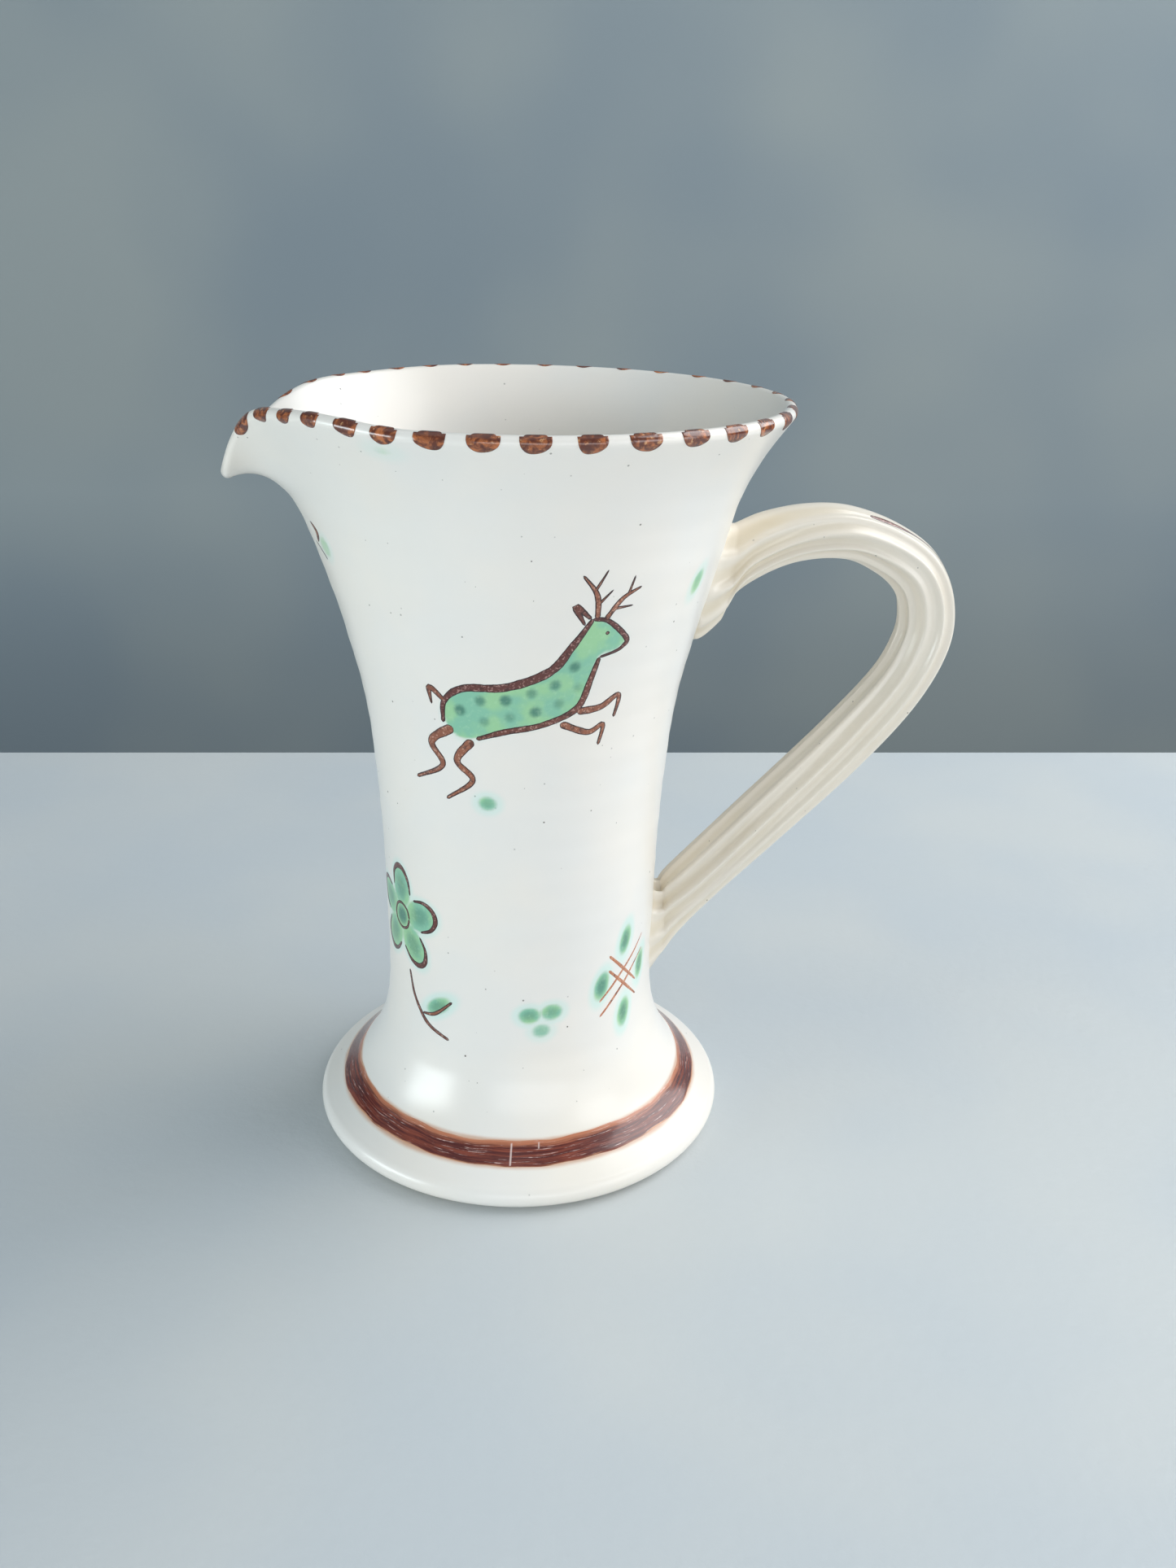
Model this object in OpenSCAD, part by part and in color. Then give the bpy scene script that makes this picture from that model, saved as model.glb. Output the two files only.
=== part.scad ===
// Hand-thrown ceramic pitcher: a trumpet-shaped wall on a flared foot, a lip pulled into a
// drooping spout, a fluted strap handle luted on at both ends, and thin slip decoration.
// Millimetres. The origin is the centre of the foot on the resting plane, +Z is up, the handle
// is towards +X and the spout towards -X.

/* [Body] */
// Height of the rim above the resting plane
rim_h = 200; // [190:1:210]
// Outer radius of the rim
rim_r = 67.6; // [64:0.2:70]
// Outer radius of the waist
waist_r = 36.7; // [35.5:0.1:38]
// Thickness of the wall
wall = 3.2; // [3:0.1:3.8]
// Height of the inside floor
floor_top = 7.6; // [6:0.2:9]

/* [Foot] */
// Outer radius of the foot
foot_r = 57.6; // [56:0.2:59]
// Radius of the upper half of the foot's rounded edge
foot_edge_r = 3.6; // [3:0.1:4]
// How far the lower half of the edge rounds in to the resting ring
foot_undercut = 6; // [4:0.2:7]
// Depth of the shallow recess under the foot
recess_depth = 1.6; // [1:0.1:2.4]
// Width of the ring that the foot rests on
rest_ring_w = 7; // [5:0.5:10]

/* [Spout] */
// Direction of the spout, in degrees from +X
spout_dir = 180; // [170:1:190]
// How far the beak reaches out past the rim
spout_reach = 5; // [3:0.5:7]
// How far the beak droops below the rim
spout_drop = 20.5; // [16:0.5:22]
// Rise of the rim beside the beak, on its -Y side
spout_shoulder = 1.5; // [0:0.1:2]
// Dip of the rim beside the beak, on its +Y side
spout_dip = 1.2; // [0:0.1:2]

/* [Handle] */
// Half of the strap's width
strap_half_w = 8.6; // [7.5:0.1:9.5]
// Number of flutes round the strap
flutes = 10; // [8:1:12]
// Depth of each flute as a share of the strap's half size
flute_depth = 0.09; // [0.04:0.01:0.12]

/* [Slip decoration] */
// Number of places for half-moon dabs round the rim; the tip of the beak is left bare
dab_count = 38; // [30:1:40]
// How much closer together the dabs stand beside the beak, in degrees
dab_crowding = 10.7; // [0:0.1:12]
// Thickness of the slip layers
slip = 0.25; // [0.2:0.05:0.4]
// Height of the foot band's lower edge
band_low = 10.1; // [9:0.1:11]
// Height of the foot band's upper edge
band_high = 14.8; // [14:0.1:17]

/* [Hidden] */

cream = [0.93, 0.91, 0.84];
brown_slip = [0.36, 0.15, 0.09];
floor_r = waist_r - wall - 0.2;
foot_top = 14;
foot_edge_end = 55;
// The pulled sector of the lip, in degrees from the spout's direction: the pull is uneven
spout_from = -52;
spout_to = 70;
spout_low = 148;
lip_end = rim_h - 2;

// ---- outline of the wall ----------------------------------------------------------------------

// Widening of the wall: [share of the rim height, share from the waist to the foot or rim radius].
// Below the waist the share is of the foot's widening, above it of the rim's.
foot_flare = [[0.0345, 0.924], [0.05, 0.68], [0.08, 0.393], [0.12, 0.185], [0.16, 0.066], [0.21, 0.012], [0.26, 0]];
rim_flare = [
    [0.26, 0], [0.4, 0.02], [0.52, 0.06], [0.62, 0.13], [0.72, 0.275],
    [0.81, 0.43], [0.89, 0.575], [0.945, 0.75], [1, 1]
];

function slope_at(k, i) =
    i == 0 ? (k[1][1] - k[0][1]) / (k[1][0] - k[0][0])
    : i == len(k) - 1 ? (k[i][1] - k[i - 1][1]) / (k[i][0] - k[i - 1][0])
    : (k[i + 1][1] - k[i - 1][1]) / (k[i + 1][0] - k[i - 1][0]);

function hermite(a, b, ma, mb, t) =
    a * (2 * t^3 - 3 * t^2 + 1) + ma * (t^3 - 2 * t^2 + t) + b * (3 * t^2 - 2 * t^3) + mb * (t^3 - t^2);

// Smooth curve through the knots k at x
function along(k, x, i = 0) =
    i < len(k) - 2 && x > k[i + 1][0] ? along(k, x, i + 1)
    : let (w = k[i + 1][0] - k[i][0])
        hermite(k[i][1], k[i + 1][1], slope_at(k, i) * w, slope_at(k, i + 1) * w, (x - k[i][0]) / w);

// Outer radius of the wall at height z
function wall_r(z) =
    let (s = z / rim_h)
    s < rim_flare[0][0] ? waist_r + along(foot_flare, s) * (foot_r - waist_r)
    : waist_r + along(rim_flare, s) * (rim_r - waist_r);

function wall_slope(z) = (wall_r(z + 0.1) - wall_r(z - 0.1)) / 0.2;

// ---- surface of the wall with the spout -------------------------------------------------------

// Bell curve that is 1 at the middle and exactly 0 past the half width w
function bell(d, w, sharp = 3) = abs(d) >= w ? 0 : (1 - (d / w)^2)^sharp;

// How much of the spout's shape reaches down to the height z
function upper_share(z) = max(0, (z - spout_low) / (rim_h - spout_low));

// Angle from the spout's direction, from -180 to 180
function from_spout(a) = (a - spout_dir + 540) % 360 - 180;

// Point of the outer surface at azimuth a and wall height z, shaped by the spout
function skin(a, z) =
    let (
        d = from_spout(a),
        u = upper_share(z),
        out = spout_reach * bell(d, d > 0 ? 38 : 48) * u^1.6,
        down = spout_drop * bell(d, d > 0 ? 30 : 50, 4) * u^4 + spout_dip * bell(d + 42, 44) * u^2,
        up = spout_shoulder * bell(d - 42, 26) * u^2,
        r = wall_r(z) + out
    )
    [r * cos(a), r * sin(a), z - down + up];

function unit(v) = v / norm(v);

function skin_up(a, z) = unit(skin(a, z + 0.2) - skin(a, z - 0.2));

function skin_normal(a, z) = unit(cross(skin(a + 0.2, z) - skin(a - 0.2, z), skin_up(a, z)));

// Section of the shell at azimuth a: up the outside, over the rounded lip, down the inside
function shell_heights(low, n) = [for (i = [0:n]) low + (lip_end - low) * i / n];

lip_steps = 8;

function shell_section(a, low, n) =
    concat(
        [for (z = shell_heights(low, n)) skin(a, z)],
        [for (k = [1:lip_steps - 1])
            let (b = 180 * k / lip_steps, m = skin_normal(a, lip_end))
            skin(a, lip_end) - m * wall / 2 + (m * cos(b) + skin_up(a, lip_end) * sin(b)) * wall / 2],
        [for (i = [n:-1:0])
            let (z = low + (lip_end - low) * i / n)
            skin(a, z) - skin_normal(a, z) * wall]
    );

// The same section as flat points [radius, height], where the spout has no effect
function flat_section(low, n) = [for (p = shell_section(0, low, n)) [norm([p[0], p[1]]), p[2]]];

// ---- solids from rings of points --------------------------------------------------------------

// Side faces between rings that each hold n points in a closed loop
function ring_sides(rings, n) = [
    for (i = [0:rings - 2], j = [0:n - 1])
        each let (a = i * n + j, b = i * n + (j + 1) % n, c = a + n, e = b + n) [[a, b, c], [b, e, c]]
];

// Closed solid from rings of points, each end closed by a fan to its own middle point
module ring_solid(rings, end_a, end_b) {
    n = len(rings[0]);
    last = (len(rings) - 1) * n;
    top = len(rings) * n;
    polyhedron(
        points = concat([for (r = rings) each r], [end_a, end_b]),
        faces = concat(
            ring_sides(len(rings), n),
            [for (j = [0:n - 1]) [top, (j + 1) % n, j]],
            [for (j = [0:n - 1]) [top + 1, last + j, last + (j + 1) % n]]
        )
    );
}

// ---- thrown body ------------------------------------------------------------------------------

module base_floor() {
    color(cream)
    translate([0, 0, recess_depth])
    cylinder(h = floor_top - recess_depth, r = floor_r, $fn = 96);
}

// Flared foot: a solid flange round the floor with a rounded edge and a shallow recess below
module foot() {
    edge_z = 4;
    lower_arc = [
        for (b = [-90:15:0]) [foot_r - foot_undercut, edge_z] + [foot_undercut * cos(b), edge_z * sin(b)]
    ];
    upper_arc = [
        for (b = [11:11:foot_edge_end]) [foot_r - foot_edge_r, edge_z] + foot_edge_r * [cos(b), sin(b)]
    ];
    slope = [for (z = [8:1:foot_top]) [wall_r(z), z]];
    rest_inner = foot_r - foot_undercut - rest_ring_w;
    color(cream)
    rotate_extrude($fn = 128)
    polygon(concat(
        [[floor_r, recess_depth], [rest_inner - recess_depth, recess_depth], [rest_inner, 0]],
        lower_arc,
        upper_arc,
        slope,
        [[floor_r, foot_top]]
    ));
}

// Trumpet wall, with the sector left open where the spout is pulled out of the lip
module body_wall() {
    lower_n = 22;
    upper_n = 16;
    lower = [for (i = [0:lower_n - 1]) let (z = foot_top + (spout_low - foot_top) * i / lower_n) z];
    upper = flat_section(spout_low, upper_n);
    inside_low = [
        for (i = [lower_n - 1:-1:0])
            if (lower[i] > rim_h * 0.26)
                let (m = unit([1, -wall_slope(lower[i])])) [wall_r(lower[i]), lower[i]] - m * wall
    ];
    seat = upper[0];
    seat_in = upper[len(upper) - 1];
    across = seat_in - seat;
    color(cream)
    difference() {
        rotate_extrude($fn = 128)
        polygon(concat(
            [[floor_r, foot_top]],
            [for (z = lower) [wall_r(z), z]],
            upper,
            inside_low,
            [[floor_r, rim_h * 0.24]]
        ));
        rotate([0, 0, spout_dir + spout_from])
        rotate_extrude(angle = spout_to - spout_from, $fn = 128)
        polygon([
            seat - 4 * across,
            seat - 4 * across + [20, 60],
            seat_in + 3 * across + [0, 70],
            seat_in + 3 * across
        ]);
    }
}

// Spout: the sector of the lip that is pulled out and bent down into a blunt drooping beak
module spout() {
    n = 16;
    steps = 61;
    sections = [
        for (i = [0:steps])
            shell_section(spout_dir + spout_from + (spout_to - spout_from) * i / steps, spout_low, n)
    ];
    m = len(sections[0]);
    last = steps * m;
    // Each end is closed by quads between the outside and the inside, and the lip's own outline
    function end_quads(o) = [for (i = [0:n - 1]) [o + i, o + i + 1, o + m - 2 - i, o + m - 1 - i]];
    function end_lip(o) = [[for (k = [n:n + lip_steps]) o + k]];
    function flipped(f) = [for (q = f) [for (k = [len(q) - 1:-1:0]) q[k]]];
    color(cream)
    polyhedron(
        points = [for (s = sections) each s],
        faces = concat(
            flipped(ring_sides(steps + 1, m)),
            end_quads(0),
            end_lip(0),
            flipped(end_quads(last)),
            flipped(end_lip(last))
        )
    );
}

// ---- handle -----------------------------------------------------------------------------------

// Outer and inner edge of the strap in the handle's plane, from the upper root to the lower one:
// [outer x, outer z, inner x, inner z]
strap = [
    [55, 168.5, 51.5, 142.5], [62.5, 171.5, 56, 151], [73.5, 173.5, 69.5, 158],
    [85, 173, 84, 159], [98, 168.5, 93, 155.5], [109, 161, 99, 150.5],
    [115.5, 149.5, 101, 144.5], [116, 135.5, 100.5, 137.5], [108.5, 119, 95.5, 127.5],
    [94, 101, 82, 112], [73.5, 80.5, 62, 91.5], [56, 63.5, 46, 75],
    [45.5, 52, 41, 69.5], [40, 43.5, 39.5, 67]
];

// Smooth strap edges at station t, counted in rows of the list
function strap_at(t) =
    let (
        i = min(floor(t), len(strap) - 2),
        f = t - i,
        a = strap[i],
        b = strap[i + 1],
        ma = i > 0 ? (b - strap[i - 1]) / 2 : b - a,
        mb = i < len(strap) - 2 ? (strap[i + 2] - a) / 2 : b - a
    )
    hermite(a, b, ma, mb, f);

points_per_flute = 6;

// Fluted oval between the strap's edges e, its width grown by the factor g
function strap_ring(e, g = 1, flute = flute_depth) =
    let (
        n = flutes * points_per_flute,
        c = [(e[0] + e[2]) / 2, 0, (e[1] + e[3]) / 2],
        half = [(e[0] - e[2]) / 2, 0, (e[1] - e[3]) / 2]
    )
    [for (j = [0:n - 1])
        let (
            b = 360 * j / n,
            rib = 1 - flute * (1 - abs(sin(b * flutes / 2)))
        )
        c + rib * (half * cos(b) + [0, g * strap_half_w * sin(b), 0])];

function ring_middle(e) = [(e[0] + e[2]) / 2, 0, (e[1] + e[3]) / 2];

module handle() {
    steps = 52;
    rings = [for (i = [0:steps]) strap_ring(strap_at((len(strap) - 1) * i / steps))];
    color(cream)
    ring_solid(rings, ring_middle(strap[0]), ring_middle(strap[len(strap) - 1]));
}

// Point pushed along X until it lies on the wall
function onto_wall(p) = [sqrt(wall_r(p[2])^2 - p[1]^2), p[1], p[2]];

// Luting clay between the wall and an end of the strap: from the strap's end ring to a wider ring
// on the wall, whose edges are at the heights z_out and z_in. The flutes fade out on the wall.
module luting(e, z_out, z_in, side) {
    wall_edge = [wall_r(z_out), z_out, wall_r(z_in), z_in];
    seat = [for (p = strap_ring(wall_edge, 1.18, 0)) onto_wall(p)];
    middle = strap_ring((wall_edge + 2 * e) / 3, 1.04, flute_depth / 2);
    rings = side > 0 ? [seat, middle, strap_ring(e)] : [strap_ring(e), middle, seat];
    seat_mid = onto_wall(ring_middle(wall_edge));
    color(cream)
    ring_solid(rings, side > 0 ? seat_mid : ring_middle(e), side > 0 ? ring_middle(e) : seat_mid);
}

module handle_upper_joint() {
    luting(strap[0], 168.5, 140.5, 1);
}

module handle_lower_joint() {
    luting(strap[len(strap) - 1], 39.5, 69, -1);
}

// ---- slip decoration --------------------------------------------------------------------------

// Point lifted off the lip: s mm down the outside from where the rounding starts, or over it if s < 0
function lip_point(a, s, lift) =
    let (m = skin_normal(a, lip_end), turn = -s / (wall / 2) * 180 / PI)
    s >= 0 ? skin(a, lip_end - s) + skin_normal(a, lip_end - s) * lift
    : skin(a, lip_end) - m * wall / 2
        + (m * cos(turn) + skin_up(a, lip_end) * sin(turn)) * (wall / 2 + lift);

// Half-moon patch of slip on the lip, with its flat edge on the crest of the rim
module dab(a) {
    across = 8;
    down = 4;
    half_angle = 3.05;
    depth = 1.3;
    shoulder = 1.9;
    crest = 2.9;
    function patch(lift) = [
        for (i = [0:across], k = [0:down])
            let (
                s = -1 + 2 * i / across,
                low = (depth + shoulder) * (1 - abs(s)^2.6)^0.5 - shoulder
            )
            lip_point(a + s * half_angle, -crest + (low + crest) * k / down, lift)
    ];
    row = down + 1;
    n = (across + 1) * row;
    function sheet(o) = [
        for (i = [0:across - 1], k = [0:down - 1])
            let (p = o + i * row + k) each [[p, p + 1, p + row], [p + 1, p + row + 1, p + row]]
    ];
    border = concat(
        [for (k = [0:down - 1]) k],
        [for (i = [0:across - 1]) i * row + down],
        [for (k = [down:-1:1]) across * row + k],
        [for (i = [across:-1:1]) i * row]
    );
    m = len(border);
    polyhedron(
        points = concat(patch(slip), patch(0)),
        faces = concat(
            sheet(0),
            [for (f = sheet(n)) [f[2], f[1], f[0]]],
            [for (j = [0:m - 1]) each let (p = border[j], q = border[(j + 1) % m])
                [[q, p, p + n], [q, p + n, q + n]]]
        )
    );
}

// Azimuth of a dab: closer to its neighbours the nearer it is to the beak
function dab_azimuth(i) =
    let (turn = 360 * (i + 0.5) / dab_count)
    spout_dir + turn - dab_crowding * sin(turn) - 1.3;

module rim_dabs() {
    color(brown_slip)
    for (i = [2:dab_count - 2]) dab(dab_azimuth(i));
}

// Band of brown slip round the slope of the foot
module foot_band() {
    levels = [for (i = [0:8]) band_low + (band_high - band_low) * i / 8];
    color(brown_slip)
    rotate_extrude($fn = 128)
    polygon(concat(
        [for (z = levels) [wall_r(z), z]],
        [for (i = [8:-1:0])
            let (z = levels[i], m = unit([1, -wall_slope(z)])) [wall_r(z), z] + m * slip]
    ));
}

base_floor();
foot();
body_wall();
spout();
handle();
handle_upper_joint();
handle_lower_joint();
rim_dabs();
foot_band();
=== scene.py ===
"""Looks of the hand-thrown pitcher: cream satin glaze with brown slip and soft green washes.

Lengths are in millimetres until a mesh is made. A place on the wall is (azimuth in degrees, height): the
handle is at azimuth 0, the spout at 180, and azimuth 270 is the front.
"""
import math

import bpy
import numpy as np
from mathutils import Matrix, Vector


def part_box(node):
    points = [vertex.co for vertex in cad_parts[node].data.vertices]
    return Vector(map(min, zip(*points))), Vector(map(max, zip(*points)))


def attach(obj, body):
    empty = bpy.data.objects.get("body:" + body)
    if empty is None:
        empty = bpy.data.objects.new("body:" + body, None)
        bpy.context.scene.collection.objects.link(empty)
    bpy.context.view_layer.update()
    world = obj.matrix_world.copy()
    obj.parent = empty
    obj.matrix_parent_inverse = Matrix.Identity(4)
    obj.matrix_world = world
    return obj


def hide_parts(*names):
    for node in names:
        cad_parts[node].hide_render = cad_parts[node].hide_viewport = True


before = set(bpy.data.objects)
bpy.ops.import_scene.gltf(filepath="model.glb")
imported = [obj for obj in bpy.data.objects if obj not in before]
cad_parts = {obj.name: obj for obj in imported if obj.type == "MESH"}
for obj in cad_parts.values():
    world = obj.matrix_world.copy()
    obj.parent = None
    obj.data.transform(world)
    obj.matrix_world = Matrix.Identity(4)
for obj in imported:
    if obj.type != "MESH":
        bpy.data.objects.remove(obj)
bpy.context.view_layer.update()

MM = 0.001

# ---- driving sizes, the same as the frame's -------------------------------------------------------

FOOT_R, _, FOOT_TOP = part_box("foot")[1] / MM
FLOOR_R, _, FLOOR_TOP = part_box("base_floor")[1] / MM
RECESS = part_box("base_floor")[0].z / MM
BAND_LOW, BAND_HIGH = (corner.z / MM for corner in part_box("foot_band"))
RIM_H = 200.0
RIM_R = 67.6
WALL = 3.2
WAIST_R = FLOOR_R + WALL + 0.2
LIP_END = RIM_H - 2
EDGE_R = 3.6
EDGE_Z = 4.0
UNDERCUT = 6.0
REST_W = 7.0

SPOUT_DIR = 180.0
SPOUT_LOW = 148.0
SPOUT_REACH = 5.0
SPOUT_DROP = 20.5
SPOUT_SHOULDER = 1.5
SPOUT_DIP = 1.2
SPOUT_FROM = SPOUT_DIR - 52
SPOUT_TO = SPOUT_DIR + 70

# Widening of the wall: share of the rim height, share of the widening from the waist. Started from a fit to
# the photo's outline made by a scratch script, then rounded and adjusted.
FOOT_FLARE = np.array([
    (0.0345, 0.924), (0.05, 0.68), (0.08, 0.393), (0.12, 0.185), (0.16, 0.066), (0.21, 0.012), (0.26, 0)
])
RIM_FLARE = np.array([
    (0.26, 0), (0.4, 0.02), (0.52, 0.06), (0.62, 0.13), (0.72, 0.275), (0.81, 0.43), (0.89, 0.575),
    (0.945, 0.75), (1, 1)
])

# Edges of the strap in the handle's plane, upper root to lower root: outer x, outer z, inner x, inner z.
# Worked out by a scratch script from the photo's outline, then rounded to about half a millimetre.
STRAP = np.array([
    (55, 168.5, 51.5, 142.5), (62.5, 171.5, 56, 151), (73.5, 173.5, 69.5, 158), (85, 173, 84, 159),
    (98, 168.5, 93, 155.5), (109, 161, 99, 150.5), (115.5, 149.5, 101, 144.5), (116, 135.5, 100.5, 137.5),
    (108.5, 119, 95.5, 127.5), (94, 101, 82, 112), (73.5, 80.5, 62, 91.5), (56, 63.5, 46, 75),
    (45.5, 52, 41, 69.5), (40, 43.5, 39.5, 67),
])
STRAP_HALF_W = 8.6


# ---- small maths ----------------------------------------------------------------------------------

def hermite(a, b, ma, mb, t):
    """Cubic from a to b with slopes ma and mb at its ends, for t from 0 to 1."""
    leave, arrive = t**3 - 2 * t**2 + t, t**3 - t**2
    return a * (2 * t**3 - 3 * t**2 + 1) + ma * leave + b * (3 * t**2 - 2 * t**3) + mb * arrive


def along(knots, x):
    """Smooth curve through the knots (x, value), at each x."""
    kx, kv = knots[:, 0], knots[:, 1]
    slope = np.gradient(kv, edge_order=1)
    slope[1:-1] = (kv[2:] - kv[:-2]) / (kx[2:] - kx[:-2])
    slope[0] = (kv[1] - kv[0]) / (kx[1] - kx[0])
    slope[-1] = (kv[-1] - kv[-2]) / (kx[-1] - kx[-2])
    i = np.clip(np.searchsorted(kx, x) - 1, 0, len(kx) - 2)
    w = kx[i + 1] - kx[i]
    return hermite(kv[i], kv[i + 1], slope[i] * w, slope[i + 1] * w, (x - kx[i]) / w)


def smooth_path(points, steps, closed=False):
    """Catmull-Rom curve through rows of numbers, with steps samples per span."""
    p = np.array(points, float)
    if closed:
        p = np.vstack([p[-1], p, p[0], p[1]])
    else:
        p = np.vstack([2 * p[0] - p[1], p, 2 * p[-1] - p[-2]])
    t = np.linspace(0, 1, steps, endpoint=False)[:, None]
    spans = [hermite(p[i], p[i + 1], (p[i + 1] - p[i - 1]) / 2, (p[i + 2] - p[i]) / 2, t)
             for i in range(1, len(p) - 2)]
    if not closed:
        spans.append(p[-2:-1])
    return np.vstack(spans)


def unit(v):
    return v / np.maximum(np.linalg.norm(v, axis=-1, keepdims=True), 1e-12)


def smoothstep(x, low, high):
    t = np.clip((x - low) / (high - low), 0, 1)
    return t * t * (3 - 2 * t)


def ripple(x, seed, octaves=4):
    """Smooth wandering value between about -1 and 1 along x."""
    rng = np.random.default_rng(seed)
    total = np.zeros_like(x, float)
    for k in range(octaves):
        total += np.sin(x * 2**k * rng.uniform(0.8, 1.25) + rng.uniform(0, 6.28)) / 1.5**k
    return total / 2.2


# ---- surface of the wall --------------------------------------------------------------------------

def wall_r(z):
    """Radius of the round wall at a height."""
    s = np.asarray(z, float) / RIM_H
    low = WAIST_R + along(FOOT_FLARE, np.clip(s, 0.0345, 0.26)) * (FOOT_R - WAIST_R)
    high = WAIST_R + along(RIM_FLARE, np.clip(s, 0.26, 1)) * (RIM_R - WAIST_R)
    return np.where(s < 0.26, low, high)


def bell(d, w, sharp=3):
    """Smooth bump, 1 at d = 0 and 0 from w outwards."""
    return np.where(np.abs(d) >= w, 0, np.maximum(0, 1 - (d / w) ** 2) ** sharp)


def thrown(az, z):
    """Outside of the wall with the spout's pull, without any marks of the hand."""
    az, z = np.broadcast_arrays(np.asarray(az, float), np.asarray(z, float))
    d = (az - SPOUT_DIR + 540) % 360 - 180
    u = np.maximum(0, (z - SPOUT_LOW) / (RIM_H - SPOUT_LOW))
    out = SPOUT_REACH * bell(d, np.where(d > 0, 38, 48)) * u**1.6
    down = SPOUT_DROP * bell(d, np.where(d > 0, 30, 50), 4) * u**4 + SPOUT_DIP * bell(d + 42, 44) * u**2
    up = SPOUT_SHOULDER * bell(d - 42, 26) * u**2
    r = wall_r(z) + out
    a = np.radians(az)
    return np.stack([r * np.cos(a), r * np.sin(a), z - down + up], -1)


def thrown_frame(az, z):
    """Upward direction and outward normal of the wall."""
    up = unit(thrown(az, z + 0.2) - thrown(az, z - 0.2))
    side = thrown(az + 0.2, z) - thrown(az - 0.2, z)
    return up, unit(np.cross(side, up))


def hand_marks(az, z):
    """Faint spiral rings left by the fingers on the outside, in mm."""
    a = np.radians(az)
    fade = smoothstep(z, 16, 30) * (1 - smoothstep(z, 180, 194))
    rings = 0.035 * np.sin(z * 0.92 + a) + 0.03 * np.sin(z * 0.41 - 2 * a + 1)
    return fade * (rings + 0.05 * np.sin(z * 0.13 + a * 2))


def wall(az, z):
    return thrown(az, z) + thrown_frame(az, z)[1] * hand_marks(az, z)[..., None]


def lip(az, s):
    """Surface by the rim: s mm down the outside from the lip's start, or over the lip if negative."""
    az, s = np.broadcast_arrays(np.asarray(az, float), np.asarray(s, float))
    up, out = thrown_frame(az, np.full_like(az, LIP_END))
    turn = np.clip(-s / (WALL / 2), 0, None)[..., None]
    centre = thrown(az, np.full_like(az, LIP_END)) - out * WALL / 2
    over = centre + (out * np.cos(turn) + up * np.sin(turn)) * WALL / 2
    return np.where(s[..., None] < 0, over, thrown(az, LIP_END - np.maximum(s, 0)))


# ---- surface of the handle ------------------------------------------------------------------------

RIDGES = 5
FLUTE = 0.18


def strap_edges(t):
    """Edges of the strap at station t, from 0 at the upper root to the lower root."""
    i = np.clip(np.floor(t).astype(int), 0, len(STRAP) - 2)
    prior, later = np.maximum(i - 1, 0), np.minimum(i + 2, len(STRAP) - 1)
    a, b = STRAP[i], STRAP[i + 1]
    ma = np.where((i > 0)[..., None], (b - STRAP[prior]) / 2, b - a)
    mb = np.where((i < len(STRAP) - 2)[..., None], (STRAP[later] - a) / 2, b - a)
    return hermite(a, b, ma, mb, (t - i)[..., None])


def ridge(t, b):
    """How near a ridge the point is, from 0 in a groove to 1, and its share of the way inwards."""
    q = np.abs((b + 180) % 360 - 180) / 180
    top = 1 - smoothstep(t, 0, 6.5)
    low = smoothstep(t, len(STRAP) - 3.2, len(STRAP) - 1)
    shifted = q ** (1 + 0.35 * top + 0.2 * low)
    wander = 0.035 * np.sin(t * 0.9 + 2 * np.sign(b)) * np.sin(np.pi * q)
    phase = RIDGES * (shifted + wander)
    near = (0.5 + 0.5 * np.cos(2 * np.pi * phase)) ** 1.9
    return near, q


def strap(t, b):
    """Point on the handle: station t along it, angle b round it from the outer edge."""
    t, b = np.broadcast_arrays(np.asarray(t, float), np.asarray(b, float))
    e = strap_edges(t)
    half_x, half_z = (e[..., 0] - e[..., 2]) / 2, (e[..., 1] - e[..., 3]) / 2
    near, q = ridge(t, b)
    uneven = 0.85 + 0.25 * np.sin(t * 0.7 + 3 * np.radians(b))
    rib = 1.0 - FLUTE * uneven * (0.2 + 0.8 * smoothstep(q, 0.12, 0.34)) * (1 - near)
    # an oval across the strap, pressed in between its ridges
    c, s = np.cos(np.radians(b)), np.sin(np.radians(b))
    x = (e[..., 0] + e[..., 2]) / 2 + rib * half_x * c
    z = (e[..., 1] + e[..., 3]) / 2 + rib * half_z * c
    y = rib * STRAP_HALF_W * s
    return np.stack([x, y, z], -1)


# ---- meshes ---------------------------------------------------------------------------------------

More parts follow.
